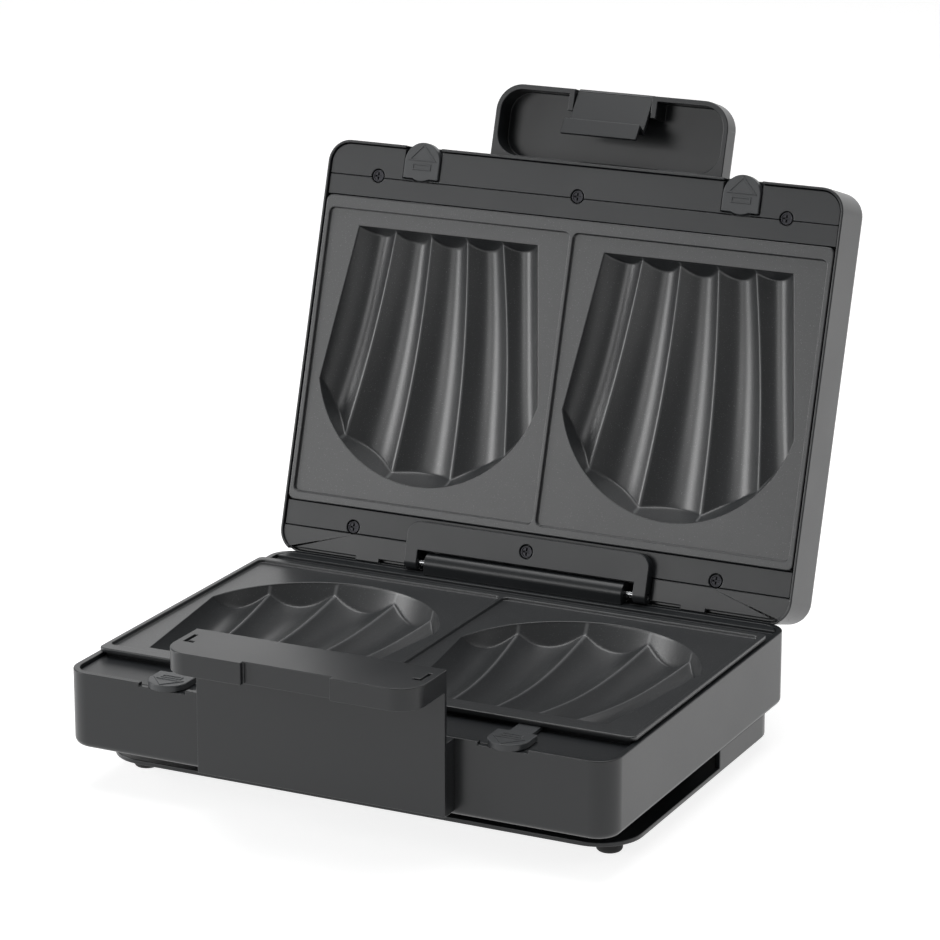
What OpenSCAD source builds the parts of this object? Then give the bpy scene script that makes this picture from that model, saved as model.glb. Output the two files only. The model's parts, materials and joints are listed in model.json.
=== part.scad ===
// Twin sandwich toaster with shell-shaped pockets, standing with its lid open.
// Millimetres. Heights (z) start at the table top. Depths (y) start at the front wall of the base and grow
// towards the hinge. The lid and what it carries are drawn closed, then turned open about the hinge axis.

/* [Base] */
// Width of the base housing
base_w = 250; // [244:1:280]
// Depth of the base housing, front to back
base_d = 187; // [184:1:200]
// Height of the base housing
base_h = 33.2; // [32:0.2:44]
// Radius of the upright corners of the base and the lid
corner_r = 10.5; // [8:0.5:14]
// Radius of the soft edge under the base
base_edge_r = 3; // [1.5:0.5:5]
// Wall of the base housing
base_wall = 2.8; // [2.4:0.1:3.2]
// Thickness of the base floor
floor_t = 2.5; // [2:0.1:4]
// How far the deck lies under the rim of the base
deck_drop = 1.5; // [1:0.1:2.5]
// Thickness of the deck
deck_t = 2.5; // [2:0.1:3]
// Depth of the flush strip behind the plate
rear_strip_d = 9.2; // [8.6:0.1:11]

/* [Stand and cord wrap] */
// Diameter of a rubber foot
foot_d = 11; // [9:0.5:14]
// Height of a rubber foot
foot_h = 7; // [5:0.5:10]
// Distance of a foot's centre from the side of the undertray
foot_inset_x = 13.6; // [11:0.2:18]
// Distance of a foot's centre from the front or back of the undertray
foot_inset_y = 17; // [13:0.5:24]
// Thickness of the undertray
tray_t = 2; // [1.6:0.1:3]
// Height of the channel that the cord is wound in
wrap_gap = 9.7; // [8:0.1:12]
// How far the undertray lies inside the sides of the base
tray_side_inset = 3.4; // [2:0.2:8]
// Front edge of the undertray behind the front wall of the base
tray_front_y = 19.9; // [16:0.1:24]
// Corner radius of the undertray
tray_corner_r = 19.3; // [14:0.5:22]
// Depth of the cord channel, from the edge of the undertray to its hub
wrap_depth = 24; // [18:1:30]
// Wall of the hub and of the keeper behind it
wrap_wall = 2.4; // [2:0.1:3]
// Length of the keeper wall along each side
keeper_len = 65.6; // [50:0.5:80]
// Slot above the keeper wall, which the cord is pressed through
keeper_slot = 1.6; // [1.2:0.1:3]

/* [Lid] */
// Depth of the lid from its rim to its outer face
lid_h = 30.3; // [29:0.1:36]
// Gap between the rim of the base and the rim of the closed lid
rim_gap = 4.7; // [4.3:0.1:5.5]
// How far the lid stands out over the base at the sides
lid_side_lap = 0.3; // [0:0.1:1]
// How far the lid stands out over the base at the front
lid_front_lap = 0.5; // [0:0.1:1]
// How far the lid stands out over the base at the back
lid_back_lap = 2.5; // [2:0.1:3]
// Radius of the soft edge round the outer face of the lid
lid_edge_r = 6; // [3:0.5:9]
// Wall of the lid
lid_wall = 2.5; // [2.2:0.1:3]
// Thickness of the thin rim round the inside of the lid
lid_rim_t = 1.2; // [1:0.1:1.4]
// Angle that the lid opens to
open_angle = 107; // [95:1:115]
// How far the front trim and the rear strip lie behind the rim of the lid
trim_drop = 1; // [0.6:0.1:1.4]
// Depth of the front trim strip
trim_d = 14.3; // [13:0.1:17]
// How far the back wall of the lid starts behind its rim
back_recess = 3; // [2.5:0.1:3.2]
// Diameter of a screw head
screw_head_d = 5.8; // [5:0.1:6.4]
// Diameter of a screw shank
screw_d = 2.8; // [2.4:0.1:3.2]

/* [Cooking plates] */
// Gap between the side of the plate and the side of the base
plate_side_inset = 1.4; // [1.2:0.1:3]
// Front edge of the plate behind the front wall of the base
plate_front_y = 24.9; // [24.2:0.1:27]
// Distance from the plate to the back wall of the base
plate_back_gap = 21.7; // [20:0.1:26]
// Thickness of the plate's outer flange
flange_t = 2; // [1.6:0.1:2.4]
// Height of the plate from its seat to its rim
plate_rise = 4.2; // [4:0.1:4.6]
// How far the plate's neck lies inside its flange
neck_inset = 2.5; // [2:0.1:3.5]
// Width of the rim at the front and back of the plate
rim_front_w = 5.8; // [4:0.1:8]
// Width of the rim at the sides of the plate
rim_side_w = 2.4; // [1.6:0.1:3]
// Width of the divider between the two halves
divider_w = 2; // [1.6:0.1:4]
// How far the plate's face lies under its rim
cell_drop = 1.5; // [1:0.1:1.8]

/* [Pockets] */
// Distance from the rim at the side to the round edge of a pocket
pocket_side_margin = 3.6; // [2.6:0.1:8]
// How much narrower a pocket is at its straight front edge, at each side
pocket_taper = 11.8; // [8:0.1:16]
// Distance from the rim at the back to the back edge of a pocket
pocket_back_margin = 9.4; // [7:0.1:12]
// Distance from the rim at the front to the straight edge of a pocket
pocket_front_margin = 7.3; // [6:0.1:12]
// Half of the angle that the round back edge turns through
pocket_arc_half = 76.3; // [70:0.1:80]
// Depth of the ridges at the front edge
ridge_front = 2; // [1:0.1:3]
// Depth of the ridges at the back edge
ridge_back = 4; // [2:0.1:5]
// How much deeper the ridges sag in the middle
ridge_sag = 5; // [3:0.1:6]
// Depth of a flute under its ridges
flute_depth = 5.5; // [3:0.1:6]
// Thickness of the casting under a pocket
pocket_wall = 2.5; // [2:0.1:3]

/* [Hinge] */
// Distance of the hinge axis from the back wall of the base
hinge_inset = 1.7; // [1.2:0.1:2.4]
// Height of the hinge axis above the rim of the base
hinge_rise = 4.1; // [3.9:0.1:4.6]
// Diameter of the hinge pin
pin_d = 3; // [2.4:0.1:3.4]
// Radius of the barrel on the base
barrel_r = 5; // [4.5:0.1:5.3]
// Length of the barrel on the base
barrel_len = 97; // [85:1:97]
// Half-width of the window in the hinge cover
window_half = 52.9; // [51:0.1:53.5]
// Width of an arm of the hinge cover
arm_w = 6.3; // [5:0.1:8]
// Front edge of the hinge cover ahead of the hinge axis
cover_reach = 18.3; // [17:0.1:19]
// Width of the two stop ribs at the back of the lid
stop_w = 12; // [8:0.5:20]

/* [Handles] */
// Width of the lid handle
handle_w = 114; // [100:1:124]
// How far the lid handle reaches out from the front wall of the base
handle_reach = 35.3; // [32:0.1:40]
// Corner radius of the lid handle
handle_corner_r = 12.5; // [9:0.5:15]
// Height of the lid handle's rim above the closed lid's rim
handle_rise = 26.3; // [25.8:0.1:27]
// Height of the lid handle
handle_h = 12.9; // [12:0.1:15]
// Wall of the lid handle
handle_wall = 2.4; // [2:0.1:3]
// Width of the base handle and of the panel that carries it
grip_w = 113; // [100:1:123]
// How far the base handle reaches out from the front wall of the base
grip_reach = 36.1; // [33:0.1:40]
// Thickness of the base handle
grip_t = 9.4; // [8:0.1:11]
// Gap between the two handles when the lid is closed
grip_gap = 0.3; // [0.3:0.1:1]
// Distance from the front wall of the base to the face of the panel
panel_out = 8.4; // [7:0.1:10]
// Thickness of the panel above the base
panel_t = 2; // [1.8:0.1:3]

/* [Latch] */
// Width of the latch clip
clip_w = 37; // [30:0.5:40]
// Side clearance of the latch clip
clip_gap = 0.4; // [0.3:0.1:0.8]
// Height of the clip's pin above the rim of the lid handle
clip_rise = 4.5; // [4:0.1:5]
// Length of the clip's plate below its pin
clip_len = 18.2; // [17.6:0.1:20]
// Thickness of the clip's plate
clip_t = 2; // [1.6:0.1:2.2]
// Angle at which the clip stands out from the lid at rest
clip_rest = 22; // [10:1:30]
// Depth of the recess in the base handle that the clip lies in
clip_recess = 2.3; // [2:0.1:3]

/* [Plate catches] */
// Width of a catch
catch_w = 17.5; // [15:0.1:20]
// How far a catch stands out from the front wall
catch_out = 2.5; // [2:0.1:4]
// Length of a catch's button, front to back
catch_len = 16.5; // [15:0.1:17]
// Travel of a catch
catch_travel = 4; // [3:0.5:4]

/* [Heating] */
// Diameter of the heating element's sheath
element_d = 6.5; // [6:0.1:7]
// Distance of the heating element from the side of the plate
element_inset_x = 28.6; // [24:0.1:40]
// Distance of the heating element from the front and the back of the plate
element_inset_y = 27.2; // [24:0.1:35]
// Bend radius of the heating element
element_bend = 22; // [15:1:30]
// Thickness of a reflector's sheet
sheet_t = 0.8; // [0.6:0.1:1.2]

/* [Clearances] */
// Gap round trims, deck and frame inside their shells
fit_gap = 0.3; // [0.2:0.1:0.4]
// Gap between a moving piece and what it passes
move_gap = 0.4; // [0.3:0.1:0.5]
// Radial gap of a turning pin
pin_gap = 0.05; // [0.03:0.01:0.08]

/* [Hidden] */

$fn = 48;
over = 1;   // cutters run this far past what they cut
far = 400;  // cutters that only one side bounds are this long

// Heights of the base
zb = foot_h + tray_t + wrap_gap;      // bottom of the housing
zt = zb + base_h;                     // rim of the housing
deck_z = zt - deck_drop;              // seat of the lower plate
plate_rim_z = deck_z + plate_rise;    // rim of the lower plate
// Heights of the closed lid
lid_z = zt + rim_gap;                 // rim of the lid and of the upper plate
lid_top = lid_z + lid_h;
seat_z = lid_z + plate_rise;          // seat of the upper plate
handle_z = lid_z + handle_rise;       // rim of the lid handle
handle_top = handle_z + handle_h;

// Depths
plate_back_y = base_d - plate_back_gap;
hinge_y = base_d - hinge_inset;
hinge_z = zt + hinge_rise;
lid_back_y = base_d + lid_back_lap;
lid_front_y = -lid_front_lap;
lid_w = base_w + 2 * lid_side_lap;
lid_d = lid_back_y - lid_front_y;
plate_w = base_w - 2 * plate_side_inset;

// Undertray, and the hub that the cord is wound round
tray_w = base_w - 2 * tray_side_inset;
tray_back_y = base_d - 2;
tray_top = foot_h + tray_t;
hub_y0 = tray_front_y + wrap_depth;
hub_y1 = tray_back_y - wrap_depth;
hub_w = tray_w - 2 * wrap_depth;

// Halves of a plate and the pockets in them
cell_in = divider_w / 2;
cell_out = plate_w / 2 - rim_side_w;
cell_x = (cell_in + cell_out) / 2;
cell_front_y = plate_front_y + rim_front_w;
cell_back_y = plate_back_y - rim_front_w / 2 - 1;
pocket_back_y = cell_back_y - pocket_back_margin;
pocket_front_y = cell_front_y + pocket_front_margin;
pocket_r = (cell_out - cell_in) / 2 - pocket_side_margin;
pocket_front_w = 2 * (pocket_r - pocket_taper);
pocket_cy = pocket_back_y - pocket_r;
pocket_deepest = (ridge_front + ridge_back) / 2 + ridge_sag + flute_depth;
FLUTES = 5;
flute_pitch = 2 / FLUTES;             // in s, which runs from -1 to 1 across a pocket
outer_ridge_share = 0.75;             // depth of the outer ridges against the inner ones
end_wall = 0.03;                      // share of a pocket's length that its end walls slope over
pocket_lip = 0.2;                     // height of the upright lip round a pocket

// Heating, from a plate's rim inwards
under_pocket = cell_drop + pocket_deepest + pocket_wall;
element_in = under_pocket + 0.5;      // near side of the element
saddle_h = 0.6;
sheet_in = element_in + element_d + saddle_h;
element_y = (plate_front_y + plate_back_y) / 2;
element_w = plate_w - 2 * element_inset_x;
element_depth = plate_back_y - plate_front_y - 2 * element_inset_y;

// Latch, closed
clip_pin_y = -handle_reach + 1.6;
clip_pin_z = handle_z + clip_rise;
clip_pin_r = 0.9;
clip_barrel_r = 2.1;
grip_top = handle_z - grip_gap;
grip_bottom = grip_top - grip_t;
clip_face_y = -grip_reach + clip_recess - move_gap + 0.1; // inner face of the clip when it is locked
slot_half = clip_w / 2 + clip_gap;

// The origin is the middle of the standing toaster, at the table top
handle_edge_r = 4;
lean = open_angle - 90;
handle_far = (hinge_y + handle_reach - handle_edge_r) * sin(lean)
    + (handle_top - handle_edge_r - hinge_z) * cos(lean) + handle_edge_r + hinge_y;
origin_y = (handle_far - grip_reach) / 2;

// ---- shapes shared by several pieces ----

// Rounded outline, centred in x, from y = 0 to y = d
module outline(w, d, r) {
    translate([-w / 2 + r, 0]) square([w - 2 * r, d]);
    translate([-w / 2, r]) square([w, d - 2 * r]);
    for (x = [-w / 2 + r, w / 2 - r], y = [r, d - r]) translate([x, y]) circle(r);
}

module slab(w, y0, y1, z0, z1, r) {
    translate([0, y0, z0]) linear_extrude(z1 - z0) outline(w, y1 - y0, r);
}

// Upright section of a tub whose lower edges are rounded by e
module tub_section(w, h, e) {
    translate([0, e]) square([w, h - e]);
    translate([e, 0]) square([w - 2 * e, h]);
    for (x = [e, w - e]) translate([x, e]) circle(e);
}

// Solid tub, centred in x, from y = 0 to y = d: upright corners of radius r, a lower edge rounded by e
module tub(w, d, h, r, e) {
    translate([-w / 2 + r, 0, 0]) rotate([90, 0, 90]) linear_extrude(w - 2 * r) tub_section(d, h, e);
    translate([-w / 2, d - r, 0]) rotate([90, 0, 0]) linear_extrude(d - 2 * r) tub_section(w, h, e);
    for (x = [-w / 2 + r, w / 2 - r], y = [r, d - r]) translate([x, y, 0]) rotate_extrude() {
        translate([0, e]) square([r, h - e]);
        square([r - e, h]);
        intersection() {
            translate([r - e, e]) circle(e);
            square([r, 2 * e]);
        }
    }
}

// Turns the lid, drawn closed, to its resting place, and puts the origin in the middle
module lid_pose() {
    translate([0, hinge_y - origin_y, hinge_z]) rotate([-open_angle, 0, 0]) translate([0, -hinge_y, -hinge_z])
        children();
}

module base_pose() translate([0, -origin_y, 0]) children();

// A cylinder along x, centred
module bar(r, length, y, z) {
    translate([-length / 2, y, z]) rotate([0, 90, 0]) cylinder(r = r, h = length);
}

// Screw with its head's top at z = 0, pointing down
module screw(length) {
    difference() {
        union() {
            translate([0, 0, -screw_head_h]) cylinder(r = screw_head_d / 2, h = screw_head_h);
            translate([0, 0, -length]) cylinder(r = screw_d / 2, h = length - screw_head_h + 0.01);
        }
        for (a = [45, 135]) rotate(a) translate([-screw_head_d * 0.3, -0.35, -1.1])
            cube([screw_head_d * 0.6, 0.7, 2]);
    }
}
screw_head_h = 2;
screw_hole_r = screw_d / 2 + 0.3;
pilot_r = screw_d / 2 + 0.02;

// ---- pockets ----

function lerp(a, b, t) = a + (b - a) * t;

// Plan of a pocket: flute line s starts on the straight front edge and fans out to the round back edge
function pocket_plan(s, t, grow) = let(
    front = [s * (pocket_front_w / 2 + grow), pocket_front_y - grow],
    turn = s * pocket_arc_half,
    back = [sin(turn), cos(turn)] * (pocket_r + grow) + [0, pocket_cy]
) lerp(front, back, t);

// Depth of the ridge lines: full on the inner pair, less on the outer pair, none at the side edges
function ridge_share(s) = let(a = abs(s)) a <= flute_pitch / 2 ? 1
    : a <= flute_pitch * 1.5 ? lerp(1, outer_ridge_share, (a - flute_pitch / 2) / flute_pitch)
    : lerp(outer_ridge_share, 0, (a - flute_pitch * 1.5) / flute_pitch);
function ridge_depth(s, t) = ridge_share(s) * (lerp(ridge_front, ridge_back, t) + ridge_sag * sin(180 * t));

// Hollow of a flute between its two ridges, from 0 on the ridges to 1 in the middle
function flute_hollow(s) = let(
    middle = round(s / flute_pitch) * flute_pitch,
    off = (s - middle) / (flute_pitch / 2)
) 1 - off * off;

function end_slope(t) = min(1, t / end_wall, (1 - t) / end_wall);
function pocket_depth(s, t) = pocket_lip + end_slope(t) * (ridge_depth(s, t) + flute_depth * flute_hollow(s));
// Underside of the casting: the pocket without its flutes
function belly_depth(s, t) = plate_rise - cell_drop
    + end_slope(t) * min(1, (1 - abs(s)) / 0.1) * (ridge_depth(s, t) + flute_depth * 0.9);

FLUTE_STEPS = 6;
pocket_s = [for (i = [0 : FLUTES * FLUTE_STEPS]) -1 + 2 * i / (FLUTES * FLUTE_STEPS)];
pocket_t = [0, end_wall, 0.1, 0.2, 0.32, 0.45, 0.58, 0.7, 0.82, 0.91, 1 - end_wall, 1];
belly_s = [-1, -0.9, -0.7, -0.5, -0.25, 0, 0.25, 0.5, 0.7, 0.9, 1];
belly_t = [0, end_wall, 0.15, 0.35, 0.6, 0.8, 1 - end_wall, 1];

// Closed solid between a net of points and a flat top
module net_solid(net, top) {
    rows = len(net);
    cols = len(net[0]);
    rim = concat([for (j = [0 : cols - 1]) [0, j]], [for (i = [1 : rows - 1]) [i, cols - 1]],
        [for (j = [cols - 2 : -1 : 0]) [rows - 1, j]], [for (i = [rows - 2 : -1 : 1]) [i, 0]]);
    n = len(rim);
    lid_points = [for (k = rim) [net[k[0]][k[1]].x, net[k[0]][k[1]].y, top]];
    function at(k) = rim[k % n][0] * cols + rim[k % n][1];
    first = rows * cols;
    polyhedron(
        concat([for (row = net, p = row) p], lid_points),
        concat(
            [for (i = [0 : rows - 2], j = [0 : cols - 2], half = [0, 1]) let(a = i * cols + j)
                half == 0 ? [a, a + cols + 1, a + cols] : [a, a + 1, a + cols + 1]],
            [for (k = [0 : n - 1]) [at(k), first + k, first + (k + 1) % n, at(k + 1)]],
            [[for (k = [n - 1 : -1 : 0]) first + k]]
        )
    );
}

module pocket_cutter() net_solid(
    [for (t = pocket_t) [for (s = pocket_s) let(p = pocket_plan(s, t, 0)) [p.x, p.y, -pocket_depth(s, t)]]],
    cell_drop + 2 * over);

module pocket_belly() net_solid(
    [for (t = belly_t) [for (s = belly_s) let(p = pocket_plan(s, t, pocket_wall))
        [p.x, p.y, -belly_depth(s, t) - pocket_wall / 2]]],
    -0.8);

// A plate with its rim at z = 0, facing up
module cooking_plate() {
    difference() {
        union() {
            slab(plate_w, plate_front_y, plate_back_y, -flange_t, 0, 3);
            slab(plate_w - 2 * neck_inset, plate_front_y + neck_inset, plate_back_y - neck_inset,
                -plate_rise, -flange_t + 0.01, 2);
            for (side = [-1, 1]) translate([side * cell_x, 0, -cell_drop]) pocket_belly();
        }
        for (side = [-1, 1]) translate([side * cell_x, 0, 0]) {
            slab(cell_out - cell_in, cell_front_y, cell_back_y, -cell_drop, over, 2.5);
            translate([0, 0, -cell_drop]) pocket_cutter();
        }
    }
}

// ---- heating, drawn hanging under a plate whose rim is at z = 0 ----

module element_bend_at(x, y, a) {
    translate([x, y, 0]) rotate(a) rotate_extrude(angle = 90)
        translate([element_bend, 0]) circle(element_d / 2);
}

module heating_element() {
    hx = element_w / 2;
    hy = element_depth / 2;
    r = element_d / 2;
    cold_pin = 16;
    tail = 34;
    translate([0, element_y, -element_in - r]) {
        for (side = [0, 1]) mirror([side, 0, 0]) {
            translate([0, -hy, 0]) rotate([0, 90, 0]) cylinder(r = r, h = hx - element_bend);
            element_bend_at(hx - element_bend, -hy + element_bend, -90);
            translate([hx, -hy + element_bend, 0]) rotate([-90, 0, 0])
                cylinder(r = r, h = element_depth - 2 * element_bend);
            element_bend_at(hx - element_bend, hy - element_bend, 0);
            translate([tail, hy, 0]) rotate([0, 90, 0]) cylinder(r = r, h = hx - element_bend - tail);
            translate([tail - cold_pin, hy, 0]) rotate([0, 90, 0]) cylinder(r = 1.6, h = cold_pin);
        }
    }
}

reflector_margin_x = 16.6;
reflector_margin_y = 8;
reflector_r = 8;
reflector_lip = 4;
reflector_w = plate_w - 2 * reflector_margin_x;
reflector_y0 = plate_front_y + reflector_margin_y;
reflector_y1 = plate_back_y - reflector_margin_y;
corners = [[-1, -1], [1, -1], [-1, 1], [1, 1]];

module reflector() {
    difference() {
        slab(reflector_w, reflector_y0, reflector_y1,
            -sheet_in - sheet_t, -sheet_in + reflector_lip, reflector_r);
        slab(reflector_w - 2 * sheet_t, reflector_y0 + sheet_t, reflector_y1 - sheet_t,
            -sheet_in, -sheet_in + reflector_lip + over, reflector_r - sheet_t);
    }
    for (s = corners)
        translate([s.x * element_w * 0.3, element_y + s.y * element_depth / 2, -sheet_in + saddle_h / 2])
            cube([8, 10, saddle_h], center = true);
}

// ---- plate catch, drawn at the middle, with the plate's rim at z = 0 ----

nose_top = -flange_t - 0.3;
nose_bottom = -plate_rise + 0.2;
nose_half = 5;
nose_end = plate_front_y + neck_inset - 0.3;
keel_y = [catch_len - catch_out - 5.5, catch_len - catch_out - 1.5];
keel_half = 2.5;
rod_r = 1.2;
rod_z = nose_bottom - 5.6;
rod_gap = 0.15;
spring_r = 2.4;
lug_y = [keel_y[1] + 0.6, keel_y[1] + 2.6];
lug_half = 4.5;
lug_end = rod_z - rod_r - 2;
rod_end = lug_y[1] + 14;
spring_len = rod_end - 2 - lug_y[1] - catch_travel - 0.3;

module catch_plan(grow) {
    r = catch_w / 2 + grow;
    translate([0, catch_w / 2 - catch_out]) circle(r);
    translate([-r, catch_w / 2 - catch_out]) square([2 * r, catch_len - catch_w / 2 + grow]);
}

// button_top is where the button's face lies against the plate's rim
module plate_catch(button_top) {
    translate([0, 0, nose_bottom]) linear_extrude(button_top - nose_bottom) catch_plan(0);
    translate([-nose_half, keel_y[0], nose_bottom])
        cube([2 * nose_half, nose_end - keel_y[0], nose_top - nose_bottom]);
    translate([-keel_half, keel_y[0], rod_z - rod_r - 0.6])
        cube([2 * keel_half, keel_y[1] - keel_y[0], nose_bottom - rod_z + rod_r + 0.7]);
    translate([0, keel_y[0] + 0.5, rod_z]) rotate([-90, 0, 0])
        cylinder(r = rod_r, h = rod_end - keel_y[0] - 0.5);
    translate([0, rod_end - 2, rod_z]) rotate([-90, 0, 0]) cylinder(r = spring_r, h = 2);
}

// Room for the catch in a deck or trim whose face is under the button
module catch_room(top) {
    translate([0, 0, -plate_rise - 0.01]) linear_extrude(top + plate_rise) {
        catch_plan(move_gap);
        translate([0, -catch_travel]) catch_plan(move_gap);
    }
    // the nose runs in a tunnel, with a roof between the button and the plate
    translate([-nose_half - move_gap, 0, -plate_rise - 0.01])
        cube([2 * (nose_half + move_gap), nose_end + move_gap, plate_rise + nose_top + move_gap]);
}

module keel_slot() {
    translate([-keel_half - move_gap, keel_y[0] - catch_travel - move_gap, -plate_rise - 8])
        cube([2 * (keel_half + move_gap), keel_y[1] - keel_y[0] + catch_travel + 2 * move_gap, 10]);
}

// Lug that the catch's rod slides in, hanging under a sheet whose far side is at z = from
module catch_lug(from) {
    difference() {
        translate([-lug_half, lug_y[0], lug_end]) cube([2 * lug_half, lug_y[1] - lug_y[0], from - lug_end]);
        translate([0, lug_y[0] - over, rod_z]) rotate([-90, 0, 0])
            cylinder(r = rod_r + rod_gap, h = lug_y[1] - lug_y[0] + 2 * over);
    }
}

module catch_spring() {
    translate([0, lug_y[1], rod_z]) rotate([-90, 0, 0]) difference() {
        cylinder(r = spring_r, h = spring_len);
        translate([0, 0, -over]) cylinder(r = rod_r + 0.4, h = spring_len + 2 * over);
    }
}

// The four corners where catches sit: children are drawn at the left and the right place
catch_x = base_w * 0.3112;
module at_catch(side) translate([side * catch_x, 0, 0]) children();
// Flips something drawn under the lower plate's rim to lie over the upper plate's rim
module upper() translate([0, 0, lid_z]) mirror([0, 0, 1]) children();
module lower() translate([0, 0, plate_rim_z]) children();

// ---- base ----

notch_half = catch_w / 2 + 2.2;
post_r = 4;
deck_post_inset = [17, 15.5];
tray_screw_inset = [28, 18.5];
sheet_post_inset = 11;
// Four places, half_x from the middle and inset from the two depths y0 and y1
function four_at(half_x, y0, y1, inset) = [for (s = corners)
    [s.x * half_x, s.y < 0 ? y0 + inset : y1 - inset]];
deck_post_at = four_at(base_w / 2 - deck_post_inset.x, 0, base_d, deck_post_inset.y);
tray_screw_at = four_at(hub_w / 2 - tray_screw_inset.x, hub_y0, hub_y1, tray_screw_inset.y);
sheet_post_at = four_at(reflector_w / 2 - sheet_post_inset, reflector_y0, reflector_y1, sheet_post_inset);
floor_top = zb + floor_t;
deck_z0 = deck_z - deck_t;
pan_bottom = plate_rim_z - sheet_in - sheet_t;
cord_x = base_w / 2 - 41;
cord_z = zb + 13;
gland_r = 5;
cord_hole_r = 3.3;

module base_housing() {
    color("#3a3e42") base_pose() {
        difference() {
            translate([0, 0, zb]) tub(base_w, base_d, base_h, corner_r, base_edge_r);
            slab(base_w - 2 * base_wall, base_wall, base_d - base_wall, floor_top, zt + over,
                corner_r - base_wall);
            for (side = [-1, 1]) translate([side * catch_x - notch_half, -over, deck_z])
                cube([2 * notch_half, base_wall + 2 * over, deck_drop + over]);
            for (p = concat(deck_post_at, tray_screw_at)) translate([p.x, p.y, zb - over])
                cylinder(r = screw_hole_r, h = floor_t + 2 * over);
            translate([cord_x, base_d + over, cord_z]) rotate([90, 0, 0])
                cylinder(r = gland_r, h = base_wall + 2 * over);
        }
        for (p = tray_screw_at) translate([p.x, p.y, floor_top]) difference() {
            cylinder(r = post_r, h = boss_h);
            translate([0, 0, -over]) cylinder(r = pilot_r, h = boss_h - 1);
        }
        for (p = sheet_post_at) translate([p.x, p.y, floor_top - 0.01])
            cylinder(r = post_r, h = pan_bottom - floor_top + 0.01);
    }
}
boss_h = pan_bottom - floor_top - 0.4;

module base_deck() {
    gap_w = base_w - 2 * (base_wall + fit_gap);
    hole_w = plate_w - 2 * (neck_inset + seat_w);
    y0 = base_wall + fit_gap;
    y1 = base_d - base_wall - fit_gap;
    color("#4b4f54") base_pose() {
        difference() {
            union() {
                slab(gap_w, y0, y1, deck_z0, deck_z, corner_r - base_wall - fit_gap);
                intersection() {
                    slab(gap_w, y0, y1, deck_z0, zt, corner_r - base_wall - fit_gap);
                    translate([-base_w, base_d - rear_strip_d, deck_z0]) cube([2 * base_w, rear_strip_d, zt]);
                }
                lower() for (side = [-1, 1]) at_catch(side) catch_lug(-plate_rise - deck_t + 0.01);
            }
            slab(hole_w, plate_front_y + neck_inset + seat_w, plate_back_y - neck_inset - seat_w,
                deck_z0 - over, deck_z + over, 6);
            lower() for (side = [-1, 1]) at_catch(side) keel_slot();
        }
        for (p = deck_post_at) translate([p.x, p.y, floor_top]) difference() {
            cylinder(r = post_r, h = deck_z0 - floor_top + 0.01);
            translate([0, 0, -over]) cylinder(r = pilot_r, h = 14 + over);
        }
    }
}
seat_w = 2.2;

module lower_reflector() color("#b9bcc0") base_pose() lower() reflector();

module lower_heating_element() color("#7d7f82") base_pose() lower() heating_element();

module undertray() {
    color("#3f4347") base_pose() difference() {
        union() {
            slab(tray_w, tray_front_y, tray_back_y, foot_h, tray_top, tray_corner_r);
            difference() {
                slab(hub_w, hub_y0, hub_y1, tray_top - 0.01, zb, tray_corner_r);
                slab(hub_w - 2 * wrap_wall, hub_y0 + wrap_wall, hub_y1 - wrap_wall,
                    tray_top - 0.02, zb + over, tray_corner_r - wrap_wall);
            }
            for (p = tray_screw_at) translate([p.x, p.y, tray_top - 0.01])
                cylinder(r = post_r, h = zb - tray_top + 0.01);
            intersection() {
                difference() {
                    slab(tray_w, tray_front_y, tray_back_y, tray_top - 0.01, zb - keeper_slot, tray_corner_r);
                    slab(tray_w - 2 * wrap_wall, tray_front_y + wrap_wall, tray_back_y - wrap_wall,
                        tray_top - 0.02, zb + over, tray_corner_r - wrap_wall);
                }
                translate([-base_w, tray_back_y - keeper_len, 0]) cube([2 * base_w, keeper_len, zb]);
            }
        }
        for (p = tray_screw_at) translate([p.x, p.y, foot_h - over]) {
            cylinder(r = screw_hole_r, h = zb);
            cylinder(r = screw_head_d / 2 + 0.3, h = screw_head_h + over + 0.2);
        }
    }
}

foot_at = [for (sx = [-1, 1], y = [tray_front_y + foot_inset_y, tray_back_y - foot_inset_y])
    [sx * (tray_w / 2 - foot_inset_x), y]];

module feet() {
    color("#232527") base_pose() for (p = foot_at) translate([p.x, p.y, 0]) {
        cylinder(r1 = foot_d / 2 - 1, r2 = foot_d / 2, h = 1);
        translate([0, 0, 1]) cylinder(r = foot_d / 2, h = foot_h - 1);
    }
}

module undertray_screws() {
    color("#26282a") base_pose() for (p = tray_screw_at) translate([p.x, p.y, foot_h + 0.2])
        mirror([0, 0, 1]) screw(zb - foot_h + floor_t + boss_h - 3);
}

module deck_screws() {
    color("#26282a") base_pose() for (p = deck_post_at) translate([p.x, p.y, zb - screw_head_h])
        mirror([0, 0, 1]) screw(screw_head_h + floor_t + 10);
}

grip_corner_r = 10.9;
grip_skirt = 2.2;
panel_z = zb + 2;

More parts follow.
